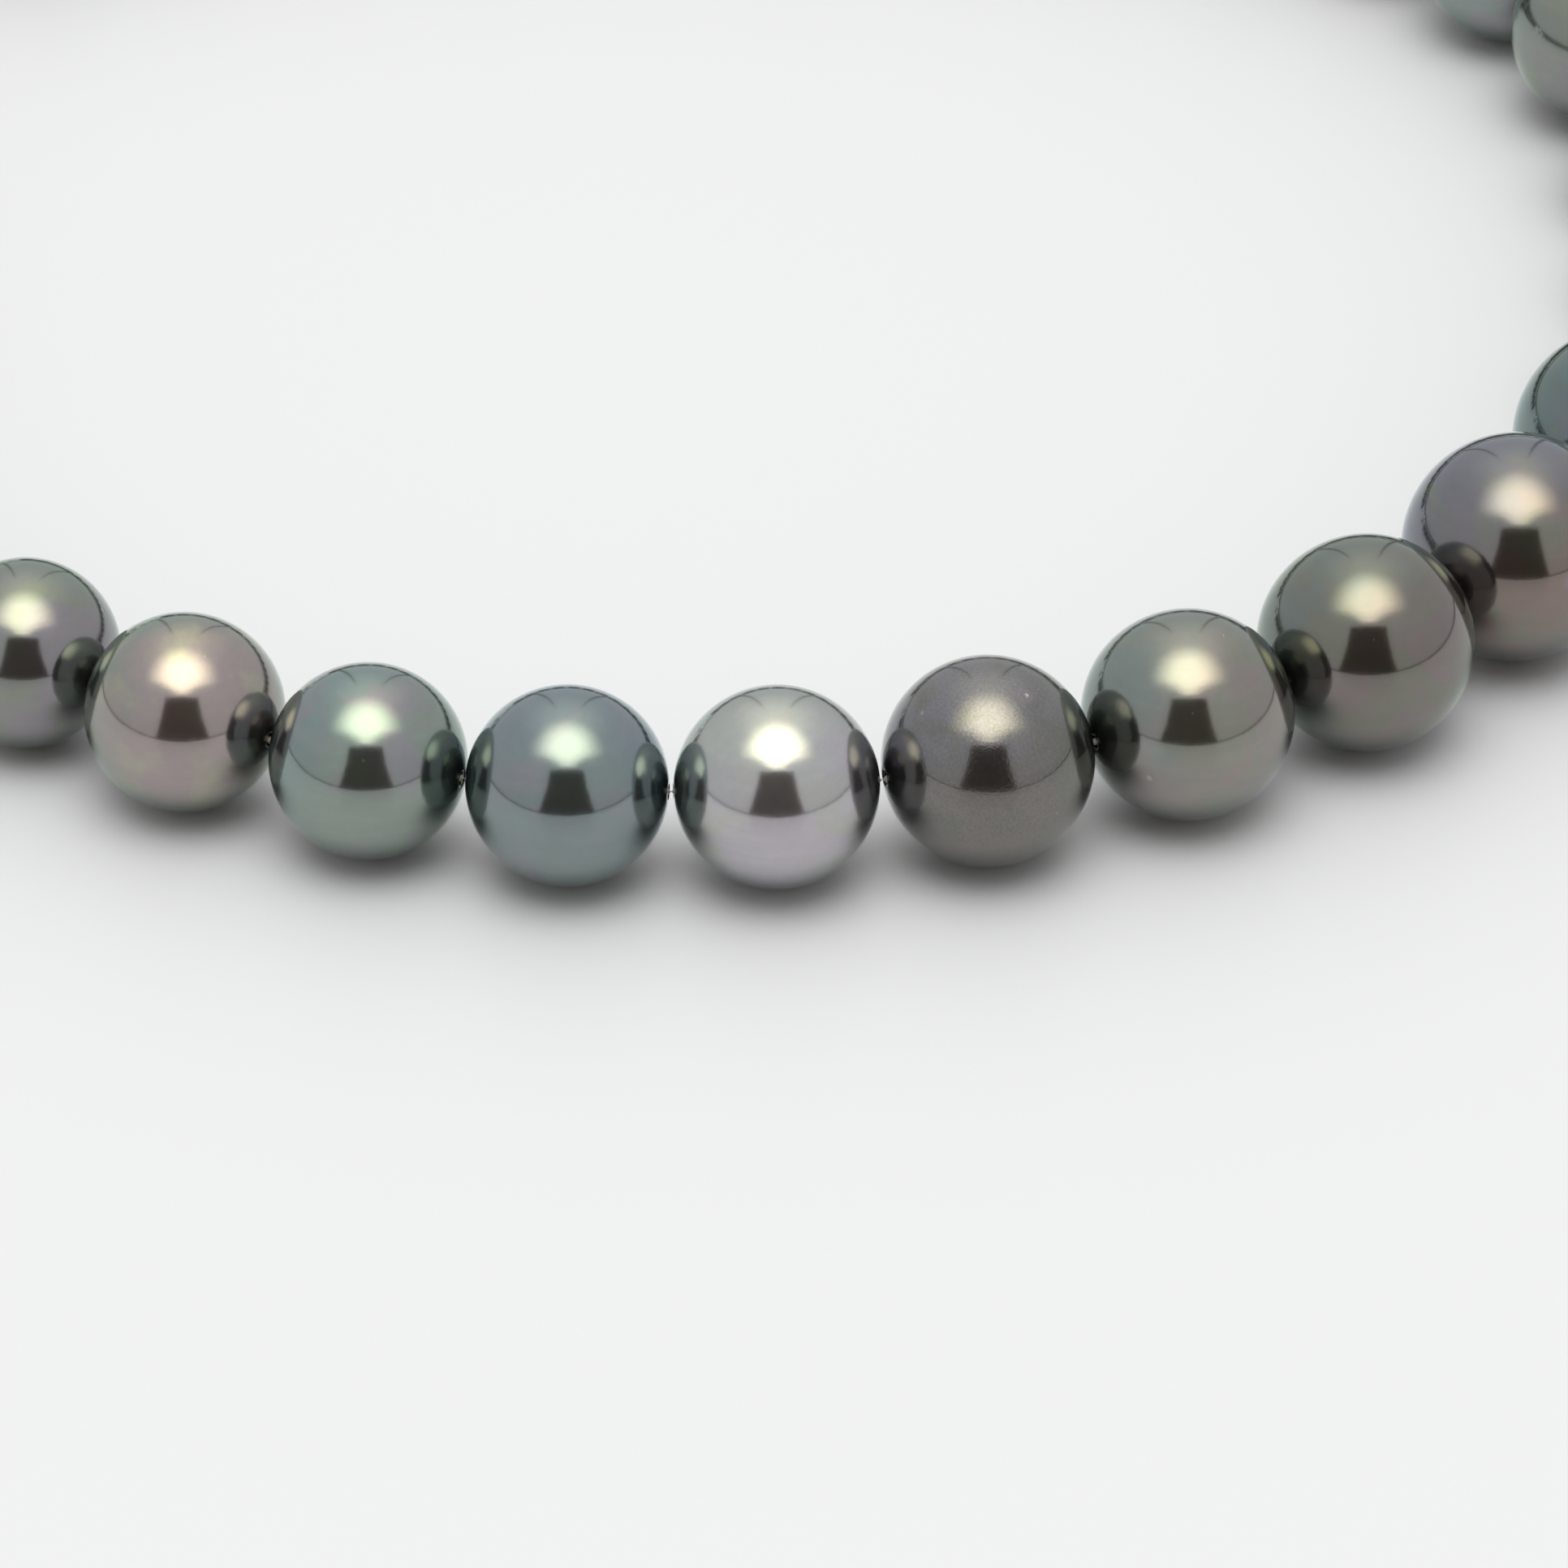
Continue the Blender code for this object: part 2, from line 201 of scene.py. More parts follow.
class Nodes:
    """Short calls for placing and joining shader nodes in one tree."""

    def __init__(self, tree):
        self.tree = tree

    def add(self, kind, **inputs):
        node = self.tree.nodes.new(kind)
        for name, value in inputs.items():
            self.put(node, name.replace("_", " "), value)
        return node

    def put(self, node, name, value):
        socket = node.inputs[name]
        if isinstance(value, bpy.types.NodeSocket):
            self.tree.links.new(value, socket)
        else:
            socket.default_value = value

    def math(self, operation, first, second=0.0, third=0.0):
        node = self.tree.nodes.new("ShaderNodeMath")
        node.operation = operation
        for number, value in enumerate((first, second, third)):
            self.put(node, number, value)
        return node.outputs[0]

    def vector(self, operation, first, second=(0, 0, 0), scale=None):
        node = self.tree.nodes.new("ShaderNodeVectorMath")
        node.operation = operation
        self.put(node, 0, first)
        self.put(node, 1, second)
        if scale is not None:
            self.put(node, "Scale", scale)
        return node.outputs["Value" if operation in ("DOT_PRODUCT", "LENGTH") else "Vector"]

    def ramp(self, value, low, high, to_low=0.0, to_high=1.0):
        node = self.tree.nodes.new("ShaderNodeMapRange")
        node.interpolation_type = "SMOOTHSTEP"
        for number, item in enumerate((value, low, high, to_low, to_high)):
            self.put(node, number, item)
        return node.outputs[0]

    def mix(self, share, first, second):
        node = self.tree.nodes.new("ShaderNodeMix")
        node.data_type = "RGBA"
        self.put(node, 0, share)
        self.put(node, 6, first)
        self.put(node, 7, second)
        return node.outputs[2]

    def noise(self, place, scale, detail=2.0, roughness=0.5, distortion=0.0):
        node = self.tree.nodes.new("ShaderNodeTexNoise")
        self.put(node, "Vector", place)
        self.put(node, "Scale", scale)
        self.put(node, "Detail", detail)
        self.put(node, "Roughness", roughness)
        self.put(node, "Distortion", distortion)
        return node.outputs["Fac"]

    def cells(self, place, scale):
        """(distance to the nearest cell point, that cell's random colour)."""
        node = self.tree.nodes.new("ShaderNodeTexVoronoi")
        self.put(node, "Vector", place)
        self.put(node, "Scale", scale)
        return node.outputs["Distance"], node.outputs["Color"]


def group(name, inputs, outputs):
    """An empty node group with named sockets: (tree, its nodes, input sockets, output node)."""
    tree = bpy.data.node_groups.new(name, "ShaderNodeTree")
    for title, kind in inputs:
        tree.interface.new_socket(title, in_out="INPUT", socket_type=kind)
    for title, kind in outputs:
        tree.interface.new_socket(title, in_out="OUTPUT", socket_type=kind)
    made = Nodes(tree)
    start = made.add("NodeGroupInput")
    end = made.add("NodeGroupOutput")
    return tree, made, start.outputs, end


NUMBER, VECTOR, COLOUR = "NodeSocketFloat", "NodeSocketVector", "NodeSocketColor"


def overtones(n, given, out, own):
    """Tone A drifting to tone B on the side the pearl leans to, with clouds of tone C."""
    lean = n.vector("DOT_PRODUCT", out, given["Lean"])
    drift = n.noise(own, 1.1, 2.0, 0.5, 0.6)
    share = n.ramp(n.math("MULTIPLY_ADD", drift, 1.6, n.math("MULTIPLY", lean, 0.8)), 0.25, 1.35)
    colour = n.mix(share, given["Tone A"], given["Tone B"])
    clouds = n.noise(n.vector("ADD", own, (7.3, 1.9, 4.4)), 1.6, 3.0, 0.55, 0.8)
    return n.mix(n.ramp(clouds, 0.46, 0.72), colour, given["Tone C"])


def scattered(n, place, scale, channel, rarity, middle, edge):
    """Small round spots in the few cells whose random colour is above a limit."""
    near, which = n.cells(place, scale)
    chosen = n.add("ShaderNodeSeparateColor", Color=which).outputs[channel]
    return n.math("MULTIPLY", n.ramp(near, middle, edge, 1.0, 0.0), n.math("GREATER_THAN", chosen, rarity))


def blemish(n, given, out, mottle):
    """(hollow, halo) of one ragged pit at the place called Flaw."""
    away = n.vector("LENGTH", n.vector("SUBTRACT", out, given["Flaw"]))
    ragged = n.math("MULTIPLY_ADD", n.math("SUBTRACT", mottle, 0.5), 0.10, away)
    ratio = n.math("DIVIDE", ragged, n.math("MAXIMUM", given["Flaw Size"], 0.0001))
    halo = n.math("MULTIPLY", n.ramp(ratio, 0.8, 1.2), n.ramp(ratio, 1.5, 2.4, 1.0, 0.0))
    return n.ramp(ratio, 0.35, 1.0, 1.0, 0.0), halo


def nacre_surface(n, end, radius, bands, mottle, fleck, pit, hollow, dust):
    """Gloss, relief and dust of the nacre, from the masks its colour is made of."""
    rough = n.math("MULTIPLY_ADD", mottle, 0.05, 0.125)
    rough = n.math("ADD", rough, n.math("MULTIPLY", n.math("ABSOLUTE", fleck), 0.25))
    sunk = n.math("ADD", n.math("MULTIPLY", pit, 0.010), n.math("MULTIPLY", hollow, 0.03))
    ripple = n.math("MULTIPLY_ADD", mottle, 0.0022, n.math("MULTIPLY", fleck, 0.0040))
    ripple = n.math("ADD", ripple, n.math("MULTIPLY", bands, 0.0030))
    n.put(end, "Roughness", rough)
    n.put(end, "Height", n.math("MULTIPLY", n.math("SUBTRACT", ripple, sunk), radius))
    n.put(end, "Metallic", n.math("MULTIPLY_ADD", dust, -0.7, 0.95))


def nacre_group():
    """Overtones, growth bands, mottling, pits and dust over a pearl about its own middle."""
    inputs = [("Middle", VECTOR), ("Radius", NUMBER), ("Lean", VECTOR), ("Seed", NUMBER)]
    inputs += [("Tone A", COLOUR), ("Tone B", COLOUR), ("Tone C", COLOUR), ("Speckle", NUMBER)]
    inputs += [("Flaw", VECTOR), ("Flaw Size", NUMBER)]
    outputs = [("Color", COLOUR), ("Roughness", NUMBER), ("Height", NUMBER), ("Metallic", NUMBER)]
    tree, n, given, end = group("nacre", inputs, outputs)
    place = n.add("ShaderNodeTexCoord").outputs["Object"]
    offset = n.vector("SUBTRACT", place, given["Middle"])
    out = n.vector("SCALE", offset, scale=n.math("DIVIDE", 1.0, given["Radius"]))
    seed = n.add("ShaderNodeCombineXYZ", X=given["Seed"], Y=given["Seed"], Z=given["Seed"]).outputs[0]
    own = n.vector("ADD", out, seed)
    bands = n.noise(n.vector("MULTIPLY", own, (0.8, 0.8, 7.0)), 1.5, 2.0)
    mottle = n.noise(own, 9.0, 4.0, 0.6)
    grain = n.noise(own, 42.0, 3.0, 0.6)
    fleck = n.math("MULTIPLY", n.math("SUBTRACT", grain, 0.5), given["Speckle"])
    shade = n.math("MULTIPLY_ADD", bands, 0.16, 0.92)
    shade = n.math("MULTIPLY", shade, n.math("MULTIPLY_ADD", mottle, 0.14, 0.93))
    shade = n.math("MULTIPLY", shade, n.math("MULTIPLY_ADD", fleck, 0.9, 1.0))
    colour = n.vector("SCALE", overtones(n, given, out, own), scale=shade)
    pit = scattered(n, own, 2.2, 0, 0.80, 0.035, 0.09)
    hollow, halo = blemish(n, given, out, mottle)
    dust = scattered(n, n.vector("ADD", own, (3.1, 8.2, 5.7)), 9.0, 1, 0.95, 0.035, 0.06)
    colour = n.mix(n.math("MULTIPLY", pit, 0.35), colour, (0.42, 0.40, 0.36, 1))
    colour = n.mix(n.math("MULTIPLY", hollow, 0.45), colour, (0.36, 0.34, 0.33, 1))
    colour = n.mix(n.math("MULTIPLY", halo, 0.28), colour, (0.24, 0.16, 0.20, 1))
    n.put(end, "Color", n.mix(n.math("MULTIPLY", dust, 0.55), colour, (0.75, 0.74, 0.70, 1)))
    nacre_surface(n, end, given["Radius"], bands, mottle, fleck, pit, hollow, dust)
    return tree


def polish_group():
    """Faint haze and fine buffing lines on polished metal."""
    inputs = [("Scale", NUMBER), ("Colour", COLOUR), ("Haze", NUMBER)]
    outputs = [("Color", COLOUR), ("Roughness", NUMBER), ("Height", NUMBER)]
    tree, n, given, end = group("polish", inputs, outputs)
    place = n.add("ShaderNodeTexCoord").outputs["Object"]
    haze = n.noise(place, given["Scale"], 4.0, 0.6)
    stretched = n.vector("MULTIPLY", place, (1.0, 1.0, 9.0))
    lines = n.noise(stretched, n.math("MULTIPLY", given["Scale"], 6.0), 2.0)
    shade = n.math("MULTIPLY_ADD", haze, 0.14, 0.90)
    n.put(end, "Color", n.vector("SCALE", given["Colour"], scale=shade))
    n.put(end, "Roughness", n.math("MULTIPLY_ADD", haze, given["Haze"], 0.06))
    n.put(end, "Height", n.math("MULTIPLY", lines, 0.000002))
    return tree


def silk_group():
    """Twisted plies of silk: light and dark blotches of noise with a little fuzz."""
    inputs = [("Colour", COLOUR), ("Scale", NUMBER)]
    outputs = [("Color", COLOUR), ("Height", NUMBER)]
    tree, n, given, end = group("silk", inputs, outputs)
    place = n.add("ShaderNodeTexCoord").outputs["Object"]
    strands = n.noise(place, given["Scale"], 3.0, 0.7, 0.4)
    shade = n.math("MULTIPLY_ADD", strands, 0.5, 0.72)
    n.put(end, "Color", n.vector("SCALE", given["Colour"], scale=shade))
    n.put(end, "Height", n.math("MULTIPLY", strands, 0.00002))
    return tree


nacre, polish, silk = nacre_group(), polish_group(), silk_group()


def shader_material(name, tree, values, fixed, bump):
    """A Principled material whose colour, roughness and relief come from a group."""
    made = bpy.data.materials.new(name)
    made.use_nodes = True
    n = Nodes(made.node_tree)
    shader = made.node_tree.nodes["Principled BSDF"]
    for socket, value in fixed.items():
        shader.inputs[socket].default_value = value
    used = n.add("ShaderNodeGroup")
    used.node_tree = tree
    for socket, value in values.items():
        used.inputs[socket].default_value = value
    for output, socket in (("Color", "Base Color"), ("Roughness", "Roughness"), ("Metallic", "Metallic")):
        if output in used.outputs:
            n.put(shader, socket, used.outputs[output])
    relief = n.add("ShaderNodeBump", Height=used.outputs["Height"], Strength=bump, Distance=1.0)
    n.put(shader, "Normal", relief.outputs["Normal"])
    return made


def metal(name, colour, scale, haze, bump=0.4):
    return shader_material(
        name,
        polish,
        {"Scale": scale, "Colour": (*colour, 1), "Haze": haze},
        {"Metallic": 1.0},
        bump,
    )


white_gold = metal("white_gold", (0.80, 0.785, 0.75), 420.0, 0.10)
gold_inside = metal("white_gold_inside", (0.62, 0.60, 0.57), 700.0, 0.35)
gimp_metal = metal("gimp_wire", (0.76, 0.75, 0.72), 900.0, 0.22)
silk_thread = shader_material(
    "silk",
    silk,
    {"Colour": (0.46, 0.42, 0.35, 1), "Scale": 5200.0},
    {"Roughness": 0.75, "Sheen Weight": 0.35},
    0.6,
)


# Pearls

SCREEN_RIGHT = np.array([math.cos(VIEW_TURN), -math.sin(VIEW_TURN), 0.0])
SCREEN_BACK = np.array([math.sin(VIEW_TURN), math.cos(VIEW_TURN), 0.0])

# Body and overtone colours: (tone A, tone B, tone C, edge tint, film in nanometres)
OVERTONES = {
    "plum": ((0.115, 0.118, 0.142), (0.155, 0.116, 0.100), (0.122, 0.134, 0.104), (0.50, 0.58, 0.62), 420),
    "bronze": ((0.128, 0.126, 0.142), (0.116, 0.106, 0.096), (0.098, 0.100, 0.086), (0.54, 0.56, 0.54), 300),
    "green": ((0.104, 0.126, 0.116), (0.136, 0.112, 0.108), (0.118, 0.122, 0.092), (0.50, 0.60, 0.52), 380),
    "grey": ((0.142, 0.176, 0.162), (0.192, 0.168, 0.156), (0.164, 0.178, 0.138), (0.52, 0.60, 0.58), 400),
    "silver": ((0.330, 0.352, 0.338), (0.352, 0.330, 0.366), (0.338, 0.338, 0.312), (0.44, 0.52, 0.50), 340),
    "slate": ((0.136, 0.176, 0.200), (0.146, 0.190, 0.184), (0.172, 0.180, 0.198), (0.50, 0.60, 0.62), 420),
    "mist": ((0.146, 0.205, 0.204), (0.176, 0.214, 0.184), (0.192, 0.186, 0.206), (0.50, 0.62, 0.58), 400),
    "rose": ((0.160, 0.212, 0.172), (0.250, 0.209, 0.206), (0.272, 0.264, 0.200), (0.46, 0.60, 0.54), 380),
    "sage": ((0.150, 0.186, 0.160), (0.182, 0.168, 0.184), (0.168, 0.190, 0.142), (0.50, 0.62, 0.56), 400),
    "peacock": ((0.082, 0.134, 0.132), (0.126, 0.100, 0.138), (0.108, 0.136, 0.098), (0.48, 0.60, 0.60), 420),
}
FRONT_OVERTONE = "peacock"
LEFT_OVERTONES = ("plum", "green", "grey", "bronze", "silver", "slate", "mist", "rose", "sage")
LEFT_OVERTONES += ("slate", "green", "mist", "grey", "peacock", "sage")
RIGHT_OVERTONES = ("green", "slate", "peacock", "sage", "mist", "plum", "green", "grey")
RIGHT_OVERTONES += ("silver", "bronze", "sage", "slate", "rose", "grey", "green")
SPECKLED = {"pearl_left_04": 1.0}


def screen_lean(right, up, towards):
    """A direction given as seen from the camera: right, up and towards it."""
    lift = np.array([0, 0, math.cos(VIEW_TILT)]) + SCREEN_BACK * math.sin(VIEW_TILT)
    near = np.array([0, 0, math.sin(VIEW_TILT)]) - SCREEN_BACK * math.cos(VIEW_TILT)
    return unit(SCREEN_RIGHT * right + lift * up + near * towards)


LEANS = {
    "pearl_left_01": (0.7, -0.6, 0.2),
    "pearl_left_02": (0.8, -0.5, 0.2),
    "pearl_left_03": (0.7, -0.5, 0.2),
    "pearl_left_05": (0.4, -0.8, 0.0),
    "pearl_left_06": (0.1, -1.0, 0.1),
    "pearl_left_08": (0.5, -0.3, 0.8),
}
FLAWS = {
    "pearl_left_01": ((0.42, -0.33, 0.84), 0.045),
    "pearl_left_04": ((0.34, 0.60, 0.72), 0.040),
}


def nacre_material(node, overtone, middle, radius, seed):
    tone_a, tone_b, tone_c, edge, film = OVERTONES[overtone]
    lean = screen_lean(*LEANS.get(node, (0.5, -0.6, 0.3)))
    flaw, flaw_size = FLAWS.get(node, ((0, 0, 1), 0.0))
    values = {
        "Middle": tuple(middle),
        "Radius": radius,
        "Lean": tuple(lean),
        "Seed": seed,
        "Tone A": (*tone_a, 1),
        "Tone B": (*tone_b, 1),
        "Tone C": (*tone_c, 1),
        "Speckle": SPECKLED.get(node, 0.12),
        "Flaw": tuple(screen_lean(*flaw)),
        "Flaw Size": flaw_size,
    }
    fixed = {
        "Coat Weight": 1.0,
        "Coat Roughness": 0.02,
        "Coat IOR": 1.55,
        "Specular Tint": (*edge, 1),
        "Thin Film Thickness": film,
        "Thin Film IOR": 1.53,
    }
    return shader_material("nacre_" + node, nacre, values, fixed, 0.35)


def pearl_profile(radius):
    """Closed (along, away) outline: the ball's arc, a rounded drill edge, the drill hole and back."""
    start = math.asin((DRILL_RADIUS + DRILL_ROUNDING) / radius)
    arc = np.linspace(start, np.pi - start, 61)
    ball = np.stack([-radius * np.cos(arc), radius * np.sin(arc)], -1)
    lip = math.sqrt(radius**2 - (DRILL_RADIUS + DRILL_ROUNDING) ** 2)
    turn = np.linspace(0, np.pi / 2, 5)[1:]
    away = DRILL_RADIUS + DRILL_ROUNDING * (1 - np.sin(turn))
    along = lip - DRILL_ROUNDING * (1 - np.cos(turn))
    far = np.stack([along, away], -1)
    near = np.stack([-along, away], -1)[::-1]
    inside = np.array([[lip / 2, DRILL_RADIUS], [0, DRILL_RADIUS], [-lip / 2, DRILL_RADIUS]])
    return np.concatenate([ball, far, inside, near])


def add_pearl(node, body, overtone, middle, along, radius, seed):
    """The turned outline, a few hundredths of a millimetre long and made off round by two waves."""
    grid = turned(pearl_profile(radius), 88)
    out = unit(grid)
    phase = 1.7 * seed
    wave = 0.0022 * np.sin(2 * out[..., 1] + 1.3 * out[..., 0] + phase)
    wave += 0.0016 * np.sin(3 * out[..., 2] - 2 * out[..., 0] + 2 * phase)
    grid = grid * (1 - 0.0038 + wave)[..., None] * np.array([LONG_ALONG_BORE, 1.0, 1.0])
    item = surface(node + "_nacre", placed(grid, axes_of(middle, along)), wrap_rows=True)
    item.data.materials.append(nacre_material(node, overtone, middle, radius, seed))
    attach(item, body)
    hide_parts(node)
    return item


def middle_of(node):
    """(middle, radius) of a pearl: its CAD ball is level on top and below, one radius away."""
    low, high = (np.array(corner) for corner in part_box(node))
    return (low + high) / 2, (high[2] - low[2]) / 2


def finish_piece(item, body, finish, *nodes, slot="white_gold"):
    item.data.materials.append(finish)
    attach(item, body)
    if nodes:
        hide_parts(*nodes)


def add_thread(name, body, start, end, *nodes):
    """Plied thread between two points: radius r * (0.9 + 0.14 cos(plies * (angle - twist)))."""
    length = float(np.linalg.norm(end - start))
    share = np.linspace(0, 1, 60)
    path = start + (end - start) * share[:, None]
    angle = np.linspace(0, 2 * np.pi, 24, endpoint=False)
    twist = 2 * np.pi * share * length / THREAD_LAY
    radius = THREAD_RADIUS * (0.9 + 0.14 * np.cos(THREAD_PLIES * (angle[None] - twist[:, None])))
    close = np.minimum(share, 1 - share) * length
    radius = radius * np.sqrt(np.clip(1 - (1 - np.clip(close / THREAD_END, 0, 1)) ** 2, 0, 1))[:, None]
    guide = np.broadcast_to(np.array([0.0, 0.0, 1.0]), path.shape)
    item = surface(name, tube(path, radius, 24, guide, closed=False))
    finish_piece(item, body, silk_thread, *nodes, slot="silk")


def level_of(point, height):
    return np.array([point[0], point[1], height])


def add_side(side, overtones, front_radius):
    """Pearls and thread stretches of one side; returns the last pearl's (middle, along, radius)."""
    before = front_radius
    for place in range(1, PEARLS_PER_SIDE + 1):
        body = f"{side}_{place:02d}"
        node = "pearl_" + body
        middle, radius = middle_of(node)
        pivot = np.array(joints[body + "_bend"]["pos_m"])
        along = level_of(middle - pivot, 0.0)
        seed = place * 1.37 + (0.0 if side == "left" else 31.0)
        add_pearl(node, body, overtones[place - 1], middle, along, radius, seed)
        reach = unit(along) * (radius + HALF_GAP)
        start = level_of(middle - reach, (before + radius) / 2)
        end = middle + reach
        if place == PEARLS_PER_SIDE:
            end = end + unit(along) * (LOOP_START + LOOP_THICK)
        else:
            end = level_of(end, (radius + middle_of(f"pearl_{side}_{place + 1:02d}")[1]) / 2)
        add_thread("thread_" + body, body, start, end)
        before = radius
    return middle, unit(along), radius


def add_knot(side, middle, along, radius):
    """Trefoil knot: (cos t + 2 cos 2t, sin t - 2 sin 2t, -sin 3t), drawn tight at the last pearl."""
    t = np.linspace(0, 2 * np.pi, 120, endpoint=False)
    knot = np.stack([-np.sin(3 * t), np.cos(t) + 2 * np.cos(2 * t), np.sin(t) - 2 * np.sin(2 * t)], -1)
    local = knot * KNOT_SIZE * np.array([1.6, 1.0, 1.0])
    axes = axes_of(middle + along * (radius + KNOT_MIDDLE), along)
    path = placed(local, axes)
    guide = path - axes[0]
    item = surface("end_knot_" + side, tube(path, KNOT_THREAD, 14, guide, True), wrap_rows=True)
    finish_piece(item, side + "_15", silk_thread, slot="silk")


def oval(t, centre):
    """Upright oval in the local along-up plane."""
    zero = np.zeros_like(t)
    return np.stack([centre + LOOP_HALF_LENGTH * np.cos(t), zero, LOOP_HALF_HEIGHT * np.sin(t)], -1)


def add_end_loop(side, middle, along, radius):
    """Fine wire wound round a thread loop: oval(t) + c * (cos(N t) * out + sin(N t) * side)."""
    centre = radius + HALF_GAP + LOOP_START + LOOP_THICK + LOOP_HALF_LENGTH
    axes = axes_of(middle, along)
    core = np.linspace(0, 2 * np.pi, 72, endpoint=False)
    path = oval(core, centre)
    guide = path - np.array([centre, 0, 0])
    item = surface(
        "loop_thread_" + side, placed(tube(path, CORE_RADIUS, 16, guide, True), axes), wrap_rows=True
    )
    finish_piece(item, side + "_15", silk_thread, slot="silk")
    t = np.linspace(0, 2 * np.pi, COIL_TURNS * 16, endpoint=False)
    base = oval(t, centre)
    out = unit(base - np.array([centre, 0, 0]))
    across = np.broadcast_to(np.array([0.0, 1.0, 0.0]), out.shape)
    turn = (COIL_TURNS * t)[:, None]
    wind = out * np.cos(turn) + across * np.sin(turn)
    path = base + wind * (LOOP_THICK - COIL_WIRE)
    coil = surface("loop_wire_" + side, placed(tube(path, COIL_WIRE, 7, wind, True), axes), wrap_rows=True)
    finish_piece(coil, side + "_15", gimp_metal, "loop_" + side, slot="gimp_wire")


# Clasp


def add_clasp_ring(name, body, axes, node):
    t = np.linspace(0, 2 * np.pi, 72, endpoint=False)
    path = np.stack([RING_OFFSET + RING_RADIUS * np.cos(t), RING_RADIUS * np.sin(t), 0 * t], -1)
    guide = path - np.array([RING_OFFSET, 0, 0])
    item = surface(name, placed(tube(path, RING_WIRE, 28, guide, True), axes), wrap_rows=True)
    finish_piece(item, body, white_gold, node)


def add_ball(axes):
    """Hollow ball: (R cos f, R sin f cos a, R sin f sin a), f from the back pole to the rim and back.

    The rim lies at angle m(a), which is deeper at the top, where the thumb tab's notch is, and is
    rounded by half the wall.
    """
    sides = 160
    a = np.linspace(0, 2 * np.pi, sides, endpoint=False)
    rim_angle = math.acos(MOUTH_DEPTH / BALL_RADIUS)
    rim_radius = BALL_RADIUS * math.sin(rim_angle)
    from_top = np.abs(np.angle(np.exp(1j * (a - np.pi / 2)))) * rim_radius
    notch = 1 - soft_step(from_top, NOTCH_HALF_WIDTH * 0.85, NOTCH_HALF_WIDTH * 1.15)
    rim = rim_angle + notch * NOTCH_DEPTH / BALL_RADIUS * 1.3
    half = WALL / 2
    centre_radius = BALL_RADIUS - half
    down = np.linspace(0, 1, 60)[:, None] ** 0.8
    outer_f = np.pi + (rim[None] - np.pi) * down
    inner_f = outer_f[::-1]
    bend = np.linspace(0, np.pi, 9)[1:-1, None]
    rim_f = rim[None] - np.sin(bend) * half / centre_radius
    f = np.concatenate([outer_f, rim_f, inner_f])
    rim_r = np.broadcast_to(centre_radius + half * np.cos(bend), rim_f.shape)
    outer_r, inner_r = np.full_like(outer_f, BALL_RADIUS), np.full_like(inner_f, BALL_RADIUS - WALL)
    radius = np.concatenate([outer_r, rim_r, inner_r])
    grid = np.stack(
        [BALL_CENTRE + radius * np.cos(f), radius * np.sin(f) * np.cos(a), radius * np.sin(f) * np.sin(a)],
        -1,
    )
    item = surface("clasp_ball", placed(grid, axes))
    finish_piece(item, "clasp_ball", white_gold, "clasp_ball_shell")


def add_mouth_plate(axes):
    """Disc with a rounded slot: points blend from the slot's edge to the disc's rim."""
    a = np.linspace(0, 2 * np.pi, 128, endpoint=False)
    power = 0.35
    slot = np.stack(
        [
            SLOT_HALF_WIDTH * np.sign(np.cos(a)) * np.abs(np.cos(a)) ** power,
            SLOT_MIDDLE + SLOT_HALF_HEIGHT * np.sign(np.sin(a)) * np.abs(np.sin(a)) ** power,
        ],
        -1,
    )
    disc = PLATE_RADIUS * np.stack([np.cos(a), np.sin(a)], -1)
    loop = [(0.0, 0.3), (0.04, 0.06), (0.12, 0.0), (0.9, 0.0), (0.97, 0.08), (1.0, 0.3)]
    loop += [(1.0, 0.9), (0.9, 1.0), (0.12, 1.0), (0.0, 0.9)]
    rows = []
    for share, depth in loop:
        edge = slot + (disc - slot) * share
        x = np.full(len(a), BALL_CENTRE + MOUTH_DEPTH - 0.00010 - depth * PLATE_THICKNESS)
        rows.append(np.concatenate([x[:, None], edge], -1))
    item = surface("clasp_plate", placed(np.stack(rows), axes), wrap_rows=True)
    finish_piece(item, "clasp_ball", gold_inside, "clasp_mouth_plate")


def add_post(name, body, axes, start, end):
    """Short flared neck that joins a clasp ring to what it is soldered to."""
    share = np.linspace(0, 1, 14)
    away = 0.00042 + 0.00035 * share**2
    profile = np.stack([start + (end - start) * share, away], -1)
    profile = np.concatenate([[[start, 0.0]], profile, [[end, 0.0]]])
    finish_piece(surface(name, placed(turned(profile, 40), axes)), body, white_gold)


def add_collar(axes):
    """Turned plate with rounded edges and a shallow step round its face."""
    bevel = 0.00022
    turn = np.linspace(0, np.pi / 2, 6)
    back = np.stack(
        [RING_END + bevel * (1 - np.sin(turn)), COLLAR_RADIUS - bevel * (1 - np.cos(turn))], -1
    )[::-1]
    front = np.stack(
        [COLLAR_END - bevel * (1 - np.sin(turn)), COLLAR_RADIUS - bevel * (1 - np.cos(turn))], -1
    )
    step = np.array([[COLLAR_END, 0.0017], [COLLAR_END + 0.0001, 0.00165], [COLLAR_END + 0.0001, 0.0]])
    profile = np.concatenate([[[RING_END, 0.0]], back, front, step])
    item = surface("clasp_collar", placed(turned(profile), axes))
    finish_piece(item, "clasp_tongue", white_gold, "clasp_tongue_collar")


